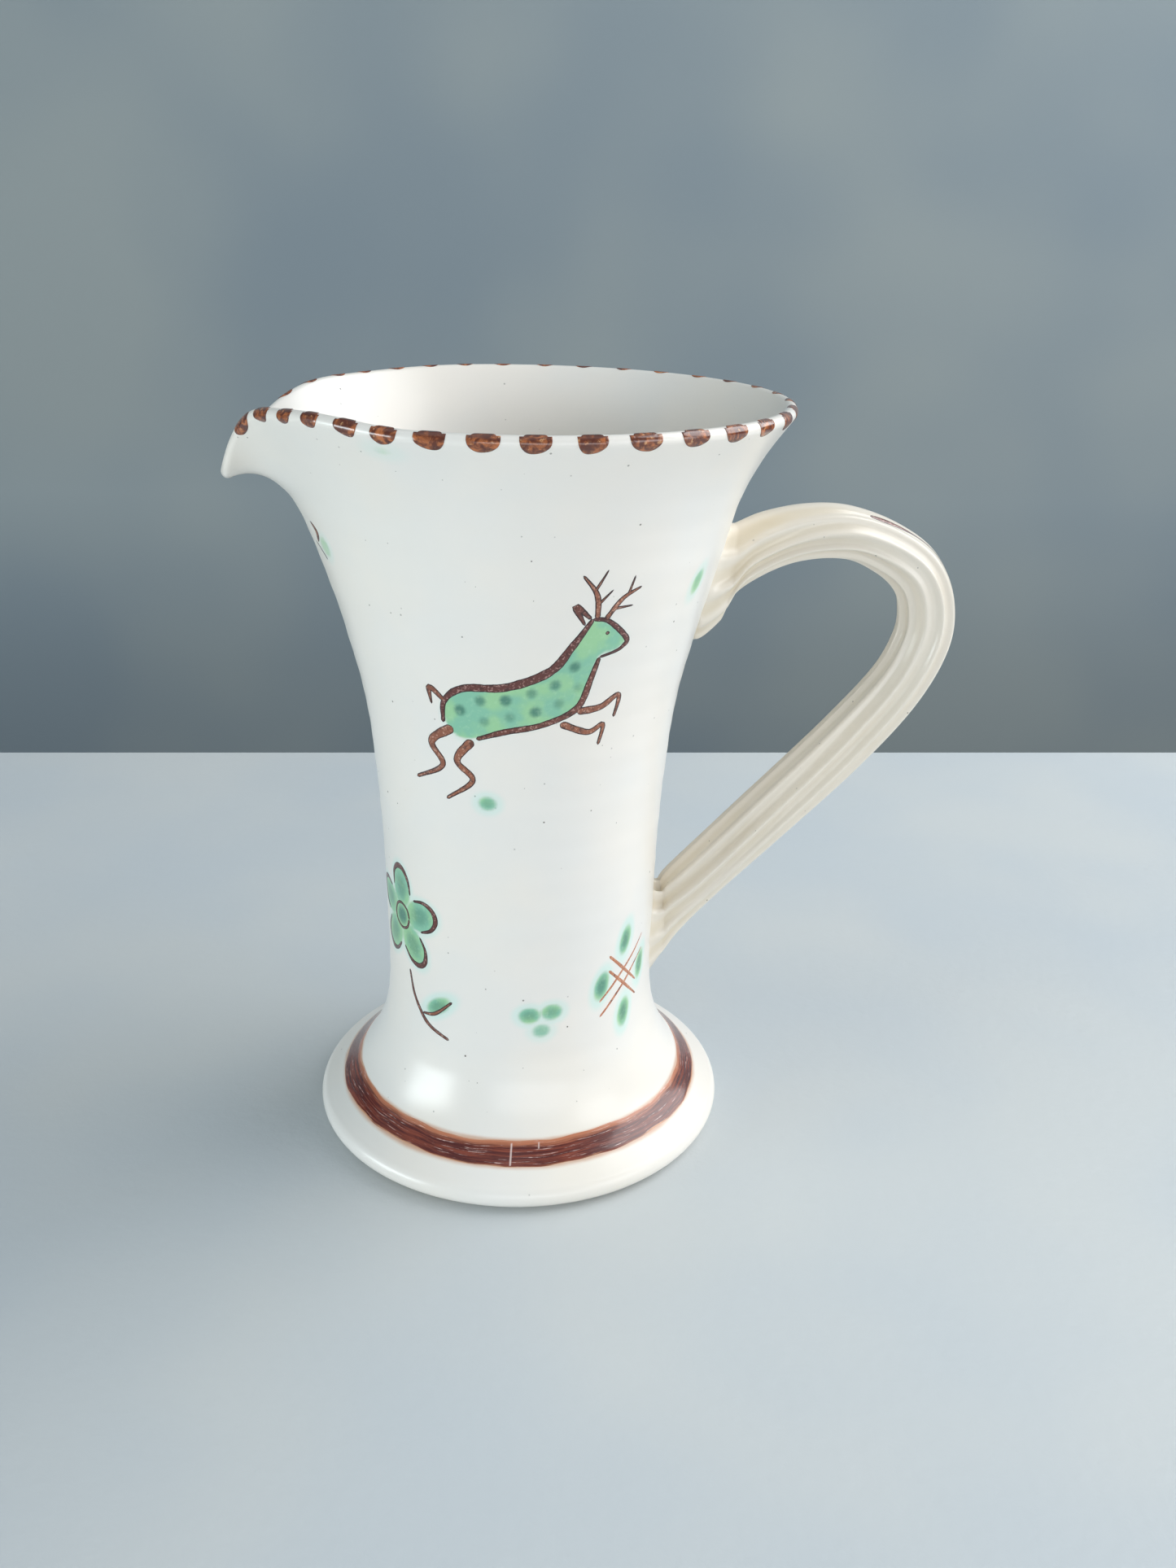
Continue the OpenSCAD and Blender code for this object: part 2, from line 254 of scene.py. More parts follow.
class Piece:
    """Points, normals, marks and faces gathered sheet by sheet, then joined where the points meet."""

    def __init__(self, marks=()):
        self.names = list(marks)
        self.points, self.normals, self.marks, self.faces = [], [], [], []
        self.count = 0

    def sheet(self, points, normals, marks=None, wrap=False):
        """Grid of points; rows go up and columns go round, seen from outside."""
        rows, cols = points.shape[:2]
        self.points.append(points.reshape(-1, 3))
        self.normals.append(normals.reshape(-1, 3))
        blank = np.zeros((rows * cols, len(self.names)))
        self.marks.append(blank if marks is None else marks.reshape(rows * cols, -1))
        i = np.arange(rows * cols).reshape(rows, cols) + self.count
        if wrap:
            i = np.hstack([i, i[:, :1]])
        quads = np.stack([i[:-1, :-1], i[:-1, 1:], i[1:, 1:], i[1:, :-1]], -1).reshape(-1, 4)
        self.faces.extend(quads.tolist())
        self.count += rows * cols

    def cap(self, points, wrap=False):
        """Grid with flat normals of its own, for a cut or an underside."""
        self.sheet(points, grid_normals(points, wrap), None, wrap)

    def end(self, ring):
        """One flat face round a ring of points."""
        middle = ring.mean(0)
        turn = unit(sum(np.cross(a - middle, b - middle) for a, b in zip(ring, np.roll(ring, -1, 0))))
        self.points.append(ring)
        self.normals.append(np.repeat(turn[None], len(ring), 0))
        self.marks.append(np.zeros((len(ring), len(self.names))))
        self.faces.append(list(range(self.count, self.count + len(ring))))
        self.count += len(ring)

    def build(self, name, material, slot, replaced=()):
        points, normals = np.vstack(self.points), np.vstack(self.normals)
        marks = np.vstack(self.marks)
        _, first, where = np.unique(np.round(points / 0.0008).astype(np.int64), axis=0, return_index=True,
                                    return_inverse=True)
        where = where.reshape(-1)
        faces, corners = [], []
        for face in self.faces:
            kept = [c for n, c in enumerate(face) if where[c] != where[face[n - 1]]]
            if len(kept) > 2:
                faces.append([int(where[c]) for c in kept])
                corners.extend(kept)
        mesh = bpy.data.meshes.new(name)
        mesh.from_pydata((points[first] * MM).tolist(), [], faces)
        for k, mark in enumerate(self.names):
            layer = mesh.attributes.new(mark, "FLOAT", "POINT")
            layer.data.foreach_set("value", marks[first, k].astype(np.float32))
        mesh.shade_smooth()
        mesh.normals_split_custom_set(normals[corners].tolist())
        mesh.materials.append(material)
        made = bpy.data.objects.new(name, mesh)
        bpy.context.scene.collection.objects.link(made)
        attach(made, "root")
        if replaced:
            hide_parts(*replaced)
        return made


def grid_normals(points, wrap):
    """Outward normals of a grid whose rows go up and whose columns go round."""
    if wrap:
        side = np.roll(points, -1, 1) - np.roll(points, 1, 1)
    else:
        side = np.gradient(points, axis=1)
    return unit(np.cross(side, np.gradient(points, axis=0)))


def on_surface(surface, u, v, step_u, step_v):
    """Point, partial derivatives and normal of a surface given by two numbers."""
    p = surface(u, v)
    pu = (surface(u + step_u, v) - surface(u - step_u, v)) / (2 * step_u)
    pv = (surface(u, v + step_v) - surface(u, v - step_v)) / (2 * step_v)
    return p, pu, pv, unit(np.cross(pu, pv))


INK_MARKS = ("edge", "run", "tone")
INK_SINK = 0.015


def stroke(piece, surface, knots, tone, lift, seed, steps):
    """Brush stroke: a thin domed ribbon on the surface. Each knot is (u, v, width in mm)."""
    path = smooth_path(knots, 24)
    p = surface(path[:, 0], path[:, 1])
    far = np.concatenate([[0], np.cumsum(np.linalg.norm(np.diff(p, axis=0), axis=1))])
    count = max(8, int(far[-1] / 0.45))
    at = np.linspace(0, far[-1], count)
    u, v, width = (np.interp(at, far, path[:, k]) for k in range(3))
    width = np.maximum(width, 0.12) * (1 + 0.07 * ripple(at * 1.1, seed))
    for rest in (at, at[-1] - at):
        reach = np.maximum(width / 2, 0.2)
        width = width * np.sqrt(1 - (1 - np.clip(rest / reach, 0.03, 1)) ** 2)
    p, pu, pv, normal = on_surface(surface, u, v, *steps)
    side = unit(np.cross(np.gradient(p, axis=0), normal))
    e, f, g = (np.sum(x * y, -1) for x, y in ((pu, pu), (pu, pv), (pv, pv)))
    su, sv = np.sum(side * pu, -1), np.sum(side * pv, -1)
    du, dv = (g * su - f * sv) / (e * g - f * f), (e * sv - f * su) / (e * g - f * f)
    across = np.linspace(-1, 1, 11)
    half = (width / 2)[:, None] * across
    base, _, _, n = on_surface(surface, u[:, None] + du[:, None] * half, v[:, None] + dv[:, None] * half,
                               *steps)
    dome = np.sqrt(np.maximum(0, 1 - across**2))[None, :, None]
    body = np.clip(width / 1.2, 0.35, 1)[:, None, None]
    top = base + n * (lift * dome * body - INK_SINK * (1 - 0.6 * dome))
    under = base - n * (INK_SINK + 0.1 * dome)
    lean = (side[:, None] * across[:, None]) * 0.25
    margin = (1 - np.abs(across)) * width[:, None] / 2
    marks = np.stack([
        1 - np.clip(margin / 0.6, 0, 1),
        np.broadcast_to(at[:, None], top.shape[:2]),
        np.full(top.shape[:2], tone),
    ], -1)
    piece.sheet(top, unit(n + lean), marks)
    piece.cap(under[:, ::-1])


# ---- painted places on the wall -------------------------------------------------------------------

# Motifs are drawn flat, in mm to the right of and above their own centre on the wall
DEER_AT = (268, 132)
FLOWER_AT = (207, 68)
# Body, neck and head of a deer in plain side view, filled with green wash
DEER_BODY = [
    (23, 19), (18, 24), (14, 25), (9, 18), (4, 12), (-6, 8), (-16, 7), (-21, 3), (-21, -3), (-16, -7),
    (-6, -4), (3, -2), (11, 2), (14, 9), (16, 15), (20, 16),
]
# Spots in the wash, alternating between two rows along the body: place and depth of colour
DEER_DOTS = [
    (-17, 1, 1.0), (-12, 4, 0.8), (-11, -1.5, 0.6), (-6, 4.5, 1.0), (-5, 0, 0.6), (0, 6.5, 0.7),
    (1, 1.5, 0.9), (5.5, 8.5, 0.8), (6.5, 3.5, 0.6), (10, 13, 0.9), (11, 7.5, 0.5),
]
DOT_R = 1.5
# Rosette of five equal petals round a disc
PETAL_COUNT = 5
PETAL_OUT = 8.5
PETAL_LONG = 6.0
PETAL_WIDE = 4.4
DISC_R = 3.6
# Leaf on the stem: place, half length, half width, tilt, depth of colour
LEAF = (14, -22, 4.6, 2.2, 35, 0.6)
# Single green touches: azimuth, height, half width, half height, tilt, depth of colour
TOUCHES = [
    (252.9, 108.1, 2.3, 1.9, 0, 0.45), (268.8, 47.2, 2.9, 2.3, 0, 0.55), (278, 47.8, 2.9, 2.3, 0, 0.5),
    (273.7, 42.6, 2.5, 2.0, 0, 0.3), (301, 52, 2.4, 4.2, -15, 0.75), (314, 63, 2.2, 4.2, -15, 0.75),
    (314, 41, 2.4, 4.2, -15, 0.75), (327, 52, 2.2, 4.2, -15, 0.75), (321.5, 161.4, 2.1, 3.2, -22, 0.4),
    (238.2, 195.4, 2.2, 0.9, 0, 0.02), (201.0, 167.4, 2.6, 2.6, 10, 0.12), (184, 163, 1.6, 3.0, 20, 0.12),
    (40, 120, 2.3, 1.9, 0, 0.5), (101, 46, 2.1, 2.1, 0, 0.6), (110, 46.4, 2.1, 2.1, 0, 0.55),
    (105.6, 42, 1.8, 1.6, 0, 0.35), (150, 112, 2.2, 1.9, 0, 0.45), (62, 150, 1.6, 3.0, 20, 0.5),
]


def on_wall(centre, x, y):
    """Azimuth and height of a place x mm to the right of and y mm above a motif's centre."""
    z = centre[1] + y
    return centre[0] + math.degrees(x / float(wall_r(z))), z


def petal_point(k, out, side):
    """Place of a point of petal k, from its distance along and beside the petal's middle line."""
    turn = math.radians(90 + 360 / PETAL_COUNT * k)
    return out * math.cos(turn) - side * math.sin(turn), out * math.sin(turn) + side * math.cos(turn)


def flower_touches():
    """Washes of the rosette, its disc and one leaf."""
    made = []
    for k in range(PETAL_COUNT):
        centre = on_wall(FLOWER_AT, *petal_point(k, PETAL_OUT, 0))
        made.append(centre + (PETAL_LONG, PETAL_WIDE, 90 + 360 / PETAL_COUNT * k, 0.6))
    made.append(FLOWER_AT + (DISC_R, DISC_R, 0, 1.0))
    made.append(on_wall(FLOWER_AT, *LEAF[:2]) + LEAF[2:])
    return made


def place_mm(az, z, centre_az):
    """Wall places as flat millimetres beside centre_az."""
    turn = (np.asarray(az, float) - centre_az + 540) % 360 - 180
    return wall_r(z) * np.radians(turn), np.asarray(z, float)


def ellipse_depth(az, z, c_az, c_z, half_w, half_h, tilt):
    """How deep inside a tilted ellipse each place is, in mm, negative outside."""
    x, y = place_mm(az, z, c_az)
    y = y - c_z
    t = math.radians(tilt)
    a, b = x * math.cos(t) + y * math.sin(t), -x * math.sin(t) + y * math.cos(t)
    q = np.hypot(a / half_w, b / half_h)
    return (1 - q) * min(half_w, half_h)


def outline_depth(az, z, outline):
    """How deep inside a closed outline each place is, in mm, negative outside."""
    loop = smooth_path(outline, 5, closed=True)
    centre = loop[:, 0].mean()
    px, py = place_mm(loop[:, 0], loop[:, 1], centre)
    x, y = place_mm(az, z, centre)
    best, inside = np.full(x.shape, 50.0), np.zeros(x.shape, bool)
    for ax, ay, bx, by in zip(px, py, np.roll(px, -1), np.roll(py, -1)):
        ex, ey = bx - ax, by - ay
        t = np.clip(((x - ax) * ex + (y - ay) * ey) / max(ex * ex + ey * ey, 1e-9), 0, 1)
        best = np.minimum(best, np.hypot(x - ax - t * ex, y - ay - t * ey))
        if ey != 0:
            inside ^= ((ay > y) != (by > y)) & (x < ax + (y - ay) * ex / ey)
    return np.where(inside, best, -best)


# Marks on the glaze; the last is painted shade, which only the handle carries
GLAZE_MARKS = ("wash", "dark", "halo", "rust", "tan")


def paint(az, z):
    """Marks of the painted washes at each place of the outside."""
    body = outline_depth(az, z, [on_wall(DEER_AT, x, y) for x, y in DEER_BODY])
    wash = smoothstep(body, -0.3, 0.9)
    halo = 0.35 * smoothstep(body, -1.5, -0.1)
    dark = np.zeros_like(wash)
    for x, y, depth in DEER_DOTS:
        spot = smoothstep(ellipse_depth(az, z, *on_wall(DEER_AT, x, y), DOT_R, DOT_R, 0), -0.9, 1.0)
        dark = np.maximum(dark, depth * spot)
        wash = np.maximum(wash, 0.85 * spot)
    for c_az, c_z, half_w, half_h, tilt, depth in TOUCHES + flower_touches():
        inside = ellipse_depth(az, z, c_az, c_z, half_w, half_h, tilt)
        wash = np.maximum(wash, smoothstep(inside, -0.9, 0.9) * min(1, 0.45 + depth))
        halo = np.maximum(halo, min(1, 0.3 + depth) * smoothstep(inside, -2.4, 0))
        dark = np.maximum(dark, depth * smoothstep(inside, -0.4, 0.75 * min(half_w, half_h)))
    halo = halo * (1 - wash)
    rust = smoothstep(z, BAND_LOW - 1.3, BAND_LOW + 0.3)
    rust = rust * (1 - smoothstep(z, BAND_HIGH - 0.6, BAND_HIGH + 1.1))
    tan = np.zeros_like(wash)
    return np.stack([wash, dark, halo, rust, tan], -1)


# ---- materials ------------------------------------------------------------------------------------

def tint(red, green, blue):
    """Linear colour from the usual 0 to 255 display values."""
    def linear(c):
        c = c / 255
        return c / 12.92 if c <= 0.04045 else ((c + 0.055) / 1.055) ** 2.4
    return (linear(red), linear(green), linear(blue), 1)


class Nodes:
    """Short names for the shader nodes used here."""

    def __init__(self, name):
        self.mat = bpy.data.materials.new(name)
        self.mat.use_nodes = True
        self.tree = self.mat.node_tree
        self.shader = self.tree.nodes["Principled BSDF"]
        self.place = self.tree.nodes.new("ShaderNodeTexCoord").outputs["Object"]

    def put(self, socket, value):
        if isinstance(value, bpy.types.NodeSocket):
            self.tree.links.new(value, socket)
        elif value is not None:
            socket.default_value = value

    def mark(self, name):
        node = self.tree.nodes.new("ShaderNodeAttribute")
        node.attribute_name = name
        return node.outputs["Fac"]

    def maths(self, kind, a, b):
        node = self.tree.nodes.new("ShaderNodeMath")
        node.operation = kind
        self.put(node.inputs[0], a)
        self.put(node.inputs[1], b)
        return node.outputs[0]

    def step(self, value, low, high, to_low=0.0, to_high=1.0):
        node = self.tree.nodes.new("ShaderNodeMapRange")
        node.interpolation_type = "SMOOTHSTEP"
        for k, v in enumerate((value, low, high, to_low, to_high)):
            self.put(node.inputs[k], v)
        return node.outputs[0]

    def wander(self, scale, detail, amount):
        """Noise round zero, for ragged edges."""
        return self.maths("MULTIPLY", self.maths("SUBTRACT", self.noise(scale, detail), 0.5), amount)

    def mix(self, share, a, b):
        node = self.tree.nodes.new("ShaderNodeMix")
        node.data_type = "RGBA"
        self.put(node.inputs["Factor"], share)
        self.put(node.inputs[6], a)
        self.put(node.inputs[7], b)
        return node.outputs[2]

    def stretched(self, x, y, z):
        node = self.tree.nodes.new("ShaderNodeMapping")
        self.put(node.inputs["Vector"], self.place)
        node.inputs["Scale"].default_value = (x, y, z)
        return node.outputs[0]

    def joined(self, x, y, z):
        node = self.tree.nodes.new("ShaderNodeCombineXYZ")
        for k, v in enumerate((x, y, z)):
            self.put(node.inputs[k], v)
        return node.outputs[0]

    def noise(self, scale, detail=3.0, rough=0.55, place=None, warp=0.0):
        node = self.tree.nodes.new("ShaderNodeTexNoise")
        self.put(node.inputs["Vector"], place or self.place)
        node.inputs["Scale"].default_value = scale
        node.inputs["Detail"].default_value = detail
        node.inputs["Roughness"].default_value = rough
        node.inputs["Distortion"].default_value = warp
        return node.outputs["Fac"]

    def cells(self, scale):
        node = self.tree.nodes.new("ShaderNodeTexVoronoi")
        self.put(node.inputs["Vector"], self.place)
        node.inputs["Scale"].default_value = scale
        parts = self.tree.nodes.new("ShaderNodeSeparateColor")
        self.put(parts.inputs[0], node.outputs["Color"])
        return node.outputs["Distance"], parts.outputs[0], parts.outputs[1]

    def bump(self, height, distance, strength=1.0):
        node = self.tree.nodes.new("ShaderNodeBump")
        node.inputs["Strength"].default_value = strength
        node.inputs["Distance"].default_value = distance
        self.put(node.inputs["Height"], height)
        self.put(self.shader.inputs["Normal"], node.outputs[0])

    def finish(self, colour, roughness, coat=0.0, coat_rough=0.1):
        self.put(self.shader.inputs["Base Color"], colour)
        self.put(self.shader.inputs["Roughness"], roughness)
        self.shader.inputs["Coat Weight"].default_value = coat
        self.shader.inputs["Coat Roughness"].default_value = coat_rough
        return self.mat


CREAM = tint(242, 236, 227)
CREAM_COOL = tint(237, 234, 228)
CREAM_WARM = tint(236, 224, 202)
GROOVE_SHADE_BUFF = tint(206, 188, 150)
# Buff of the painted shade in the handle's grooves and by its roots
IRON = tint(92, 82, 72)


def specks(n, colour):
    """Iron specks in the glaze: many pin points and a few larger ones."""
    for scale, share, size in ((420, 0.80, 0.110), (120, 0.55, 0.032)):
        distance, pick, tone = n.cells(scale)
        limit = n.maths("ADD", n.maths("MULTIPLY", n.step(pick, share, 1.0), size), 0.006)
        dot = n.maths("MULTIPLY", n.step(n.maths("DIVIDE", distance, limit), 0.7, 1.15, 1.0, 0.0),
                      n.step(pick, share, share + 0.02))
        dot = n.maths("MULTIPLY", dot, n.step(tone, 0.0, 1.0, 0.3, 0.95))
        colour = n.mix(dot, colour, IRON)
    return colour


def glaze_base(n, warm):
    """Cream glaze that varies softly in tone."""
    cloud = n.noise(26, 3, 0.5)
    colour = n.mix(n.step(cloud, 0.35, 0.65), CREAM_COOL, CREAM)
    return n.mix(n.step(n.noise(11, 2), 0.45, 0.75, 0.0, warm), colour, CREAM_WARM)


def body_glaze():
    """Cream glaze with green washes, their pale halo, and a rusty blush beside the foot band."""
    n = Nodes("cream_glaze_washes")
    grain = n.noise(900, 2)
    wash = n.maths("ADD", n.mark("wash"), n.wander(330, 3, 0.22))
    wash = n.maths("MULTIPLY", n.step(wash, 0.10, 0.95), n.step(n.mark("wash"), 0.0, 0.25))
    colour = specks(n, glaze_base(n, 0.25))
    colour = n.mix(n.maths("MULTIPLY", n.mark("halo"), 0.85), colour, tint(204, 236, 226))
    green = n.mix(n.step(n.noise(140, 2), 0.38, 0.62), tint(148, 206, 150), tint(122, 192, 160))
    green = n.mix(n.step(n.mark("dark"), 0.08, 1.0), green, tint(30, 122, 98))
    green = n.mix(n.maths("MULTIPLY", n.step(grain, 0.5, 0.8), 0.25), green, tint(185, 225, 190))
    colour = n.mix(n.maths("MULTIPLY", wash, 0.92), colour, green)
    around = n.maths("ADD", n.mark("rust"), n.wander(90, 3, 0.5))
    colour = n.mix(n.maths("MULTIPLY", n.step(around, 0.25, 1.15), n.step(n.mark("rust"), 0.0, 0.3)),
                   colour, tint(205, 160, 130))
    n.bump(n.noise(60, 1), 0.0001)
    return n.finish(colour, 0.31, coat=0.25, coat_rough=0.22)


def handle_glaze():
    """Warmer cream glaze, darker than the body's as painted shade, with buff painted shade in the grooves and
    on the inner face by the roots.
    """
    n = Nodes("cream_glaze_handle")
    # Painted shade: the handle's glaze is mixed darker than the body's
    colour = specks(n, n.mix(0.6, glaze_base(n, 0.55), tint(228, 216, 196)))
    # Painted shade: buff where the mark lies, with a ragged edge
    thin = n.maths("ADD", n.mark("tan"), n.wander(70, 3, 0.35))
    tan = n.maths("MULTIPLY", n.step(thin, 0.2, 1.1), n.step(n.mark("tan"), 0.0, 0.3))
    colour = n.mix(tan, colour, GROOVE_SHADE_BUFF)
    n.bump(n.noise(90, 1), 0.0001)
    return n.finish(colour, 0.29, coat=0.35, coat_rough=0.18)


def ink():
    """Brown slip lines: dark pooled edges and a mottled red-brown middle, with pale pinkish mottles that are
    partly uneven slip and partly painted highlight.
    """
    n = Nodes("brown_ink")
    edge, tone = n.mark("edge"), n.mark("tone")
    mottle = n.noise(1500, 3, 0.6)
    middle = n.mix(tone, tint(98, 50, 44), tint(188, 118, 82))
    # Pale pinkish mottles over the lines' middle: partly the slip's own uneven tone, partly painted highlight
    light = n.mix(tone, tint(190, 148, 138), tint(228, 180, 144))
    colour = n.mix(n.maths("MULTIPLY", n.step(mottle, 0.52, 0.66), 0.8), middle, light)
    spots = n.maths("MULTIPLY", n.step(n.noise(700, 2), 0.54, 0.68), 0.7)
    colour = n.mix(spots, colour, tint(62, 30, 26))
    rim = n.maths("ADD", edge, n.wander(800, 2, 0.5))
    outlined = n.maths("MULTIPLY", n.step(rim, 0.30, 0.62), n.step(tone, 0.8, 1.0, 1.0, 0.0))
    colour = n.mix(outlined, colour, tint(50, 24, 25))
    n.bump(mottle, 0.00006)
    return n.finish(colour, 0.3, coat=0.4, coat_rough=0.15)


def dab_slip():
    """Rim dabs: mottled orange-brown with a dark outline."""
    n = Nodes("brown_dab")
    mottle = n.noise(420, 4, 0.6, warp=0.8)
    colour = n.mix(n.step(mottle, 0.42, 0.66), tint(98, 46, 28), tint(188, 110, 62))
    dry = n.maths("MULTIPLY", n.step(n.noise(900, 3), 0.58, 0.72), 0.7)
    colour = n.mix(dry, colour, tint(226, 172, 120))
    runs = n.step(n.noise(300, 2, place=n.stretched(1, 1, 2.5)), 0.5, 0.66)
    colour = n.mix(n.maths("MULTIPLY", runs, 0.75), colour, tint(88, 42, 30))
    ragged = n.maths("ADD", n.mark("edge"), n.wander(1200, 2, 0.25))
    colour = n.mix(n.step(ragged, 0.66, 0.86), colour, tint(54, 27, 25))
    n.bump(mottle, 0.00008)
    return n.finish(colour, 0.22, coat=0.6, coat_rough=0.1)


def band_slip():
    """Foot band: dark red-brown core with fine streaks along it, fading to orange-brown at its edges."""
    n = Nodes("brown_band")
    across, turn = n.mark("edge"), n.mark("run")

    def streaks(run_scale, across_scale, offset, detail):
        run, rise = n.maths("MULTIPLY", turn, run_scale), n.maths("MULTIPLY", across, across_scale)
        return n.noise(1.0, detail, 0.65, place=n.joined(run, rise, offset))

    streak = streaks(0.07, 11.0, 0.0, 4)
    fine = streaks(0.10, 19.0, 4.0, 3)
    mottle = n.noise(700, 3, 0.6)
    colour = n.mix(n.step(streak, 0.40, 0.66), tint(84, 33, 29), tint(136, 66, 48))
    fade = n.maths("ADD", across, n.maths("MULTIPLY", n.maths("SUBTRACT", streak, 0.5), 0.35))
    colour = n.mix(n.step(fade, 0.66, 0.92), colour, tint(190, 120, 88))
    light = n.maths("MULTIPLY", n.step(fine, 0.585, 0.68), n.step(mottle, 0.42, 0.56, 0.35, 0.9))
    colour = n.mix(light, colour, tint(222, 190, 180))
    colour = n.mix(n.step(fade, 0.92, 1.06), colour, tint(226, 196, 168))
    colour = n.mix(n.step(n.maths("SUBTRACT", 1.0, fade), 0.93, 1.0), colour, tint(206, 150, 116))
    colour = n.mix(n.maths("MULTIPLY", n.mark("tone"), 0.8), colour, tint(232, 208, 200))
    n.bump(fine, 0.00006)
    return n.finish(colour, 0.24, coat=0.6, coat_rough=0.12)


# ---- thrown body: one profile from the middle of the underside to the middle of the floor ---------

def columns():
    """Azimuths of the body's grid, closest where the front is painted."""
    spans = ((SPOUT_FROM, 190, 42), (190, SPOUT_TO, 62), (SPOUT_TO, 345, 96), (345, SPOUT_FROM + 360, 70))
    return np.concatenate([np.linspace(a, b, n, endpoint=False) for a, b, n in spans])


def inside(az, z):
    """Inside of the upper wall, one wall thickness in from the outside at height z."""
    return thrown(az, z) - thrown_frame(az, z)[1] * WALL


def spun(az, r, z):
    """Ring of radius r at height z."""
    a = np.radians(az)
    return np.stack([r * np.cos(a), r * np.sin(a), np.full_like(a, z)], -1)


def foot_profile():
    """Radius and height of the foot's outside, from the underside up to the wall."""
    ring_in = FOOT_R - UNDERCUT - REST_W
    tray = [
        (FLOOR_R, RECESS), (38, RECESS), (ring_in - RECESS - 0.4, RECESS),
        (ring_in - RECESS + 0.2, RECESS - 0.25), (ring_in - 0.3, 0.25), (ring_in + 0.3, 0),
        (ring_in + 1, 0), (FOOT_R - UNDERCUT - 1, 0),
    ]
    undercut = (UNDERCUT, EDGE_Z, np.linspace(-90, 0, 11))
    round_over = (EDGE_R, EDGE_R, np.linspace(7, 55, 7))
    for out, height, turns in (undercut, round_over):
        tray += [(FOOT_R - out + out * math.cos(b), EDGE_Z + height * math.sin(b)) for b in np.radians(turns)]
    return tray + [(float(wall_r(z)), z) for z in np.arange(7.2, FOOT_TOP + 0.01, 0.4)]


def make_body(glaze):
    """Floor, foot, wall and spout, cut from one profile so that their seams meet."""
    az = columns()
    rows, spans = [], {}

    def add(name, points):
        start = len(rows)
        rows.extend(points)
        spans[name] = (start, len(rows))

    under = [(0, RECESS), (8, RECESS), (18, RECESS), (28, RECESS), (FLOOR_R, RECESS)]
    add("floor_under", [spun(az, r, z) for r, z in under])
    tray = foot_profile()
    add("foot_out", [spun(az, r, z) for r, z in tray])
    low = np.linspace(FOOT_TOP, SPOUT_LOW, 166)
    add("wall_low", [wall(az, np.full_like(az, z)) for z in low])
    high = np.linspace(SPOUT_LOW, LIP_END, 52)
    add("wall_high", [wall(az, np.full_like(az, z)) for z in high])
    add("lip", [lip(az, -s) for s in np.linspace(0.25, math.pi * WALL / 2 - 0.25, 13)])
    add("in_high", [inside(az, np.full_like(az, z)) for z in high[::-1]])
    add("in_low", [inner_low(az, z) for z in np.linspace(SPOUT_LOW, FOOT_TOP, 44)])
    bend = 4.5
    add("foot_in", [spun(az, FLOOR_R, z) for z in (FOOT_TOP, FLOOR_TOP + bend)])
    turned = [(FLOOR_R - bend * (1 - math.cos(b)), FLOOR_TOP + bend * (1 - math.sin(b)))
              for b in np.radians(np.linspace(0, 90, 9))]
    add("floor_top", [spun(az, r, z) for r, z in turned + [(r, FLOOR_TOP) for r in (24, 15, 7, 0)]])
    points = np.array(rows)
    normals = grid_normals_joined(points)
    marks = np.zeros(points.shape[:2] + (len(GLAZE_MARKS),))
    first, last = spans["foot_out"][0], spans["wall_high"][1]
    heights = np.concatenate([[z for _, z in tray], low, high])
    heights = np.broadcast_to(heights[:, None], (last - first, len(az)))
    marks[first:last] = paint(np.broadcast_to(az, heights.shape), heights)

    spout_cols = int(np.searchsorted(az, SPOUT_TO)) + 1
    body_cols = np.r_[spout_cols - 1:len(az), 0]

    def part(piece, name, cols=slice(None), wrap=True):
        a, b = spans[name]
        piece.sheet(points[a:b][:, cols], normals[a:b][:, cols], marks[a:b][:, cols], wrap)

    def between(row_a, row_b, cols=slice(None)):
        return np.stack([points[row_a][cols], points[row_b][cols]])

    floor_piece, foot_piece, wall_piece, spout_piece = (Piece(GLAZE_MARKS) for _ in range(4))
    part(floor_piece, "floor_under")
    part(floor_piece, "floor_top")
    floor_piece.cap(between(spans["floor_under"][1] - 1, spans["floor_top"][0]), True)
    part(foot_piece, "foot_out")
    part(foot_piece, "foot_in")
    foot_piece.cap(between(spans["foot_out"][1] - 1, spans["foot_in"][0]), True)
    foot_piece.cap(between(spans["foot_in"][1] - 1, spans["foot_out"][0]), True)
    part(wall_piece, "wall_low")
    part(wall_piece, "in_low")
    wall_piece.cap(between(spans["in_low"][1] - 1, spans["wall_low"][0]), True)
    for name in ("wall_high", "lip", "in_high"):
        part(wall_piece, name, body_cols, False)
        part(spout_piece, name, slice(0, spout_cols), False)
    join_runs(wall_piece, points, normals, marks, spans, body_cols)
    join_runs(spout_piece, points, normals, marks, spans, np.arange(spout_cols))
    a, b = spans["wall_high"][0], spans["in_high"][1] - 1
    step = between(a, b, np.arange(spout_cols))
    wall_piece.cap(step, False)
    spout_piece.cap(step[::-1], False)
    for piece, cols in ((wall_piece, (body_cols[0], body_cols[-1])), (spout_piece, (0, spout_cols - 1))):
        for col, first_side in zip(cols, (True, False)):
            outer = points[spans["wall_high"][0]:spans["wall_high"][1], col]
            inner = points[spans["in_high"][0]:spans["in_high"][1], col][::-1]
            strip = np.stack([inner, outer] if first_side else [outer, inner], 1)
            piece.cap(strip, False)
            over = points[spans["lip"][0]:spans["lip"][1], col]
            loop = np.vstack([outer[-1:], over, inner[-1:]])
            piece.end(loop if first_side else loop[::-1])
    floor_piece.build("inside_floor", glaze, "glazed_body", ["base_floor"])
    foot_piece.build("flared_foot", glaze, "glazed_body", ["foot"])
    wall_piece.build("thrown_wall", glaze, "glazed_body", ["body_wall"])
    spout_piece.build("pulled_spout", glaze, "glazed_body", ["spout"])


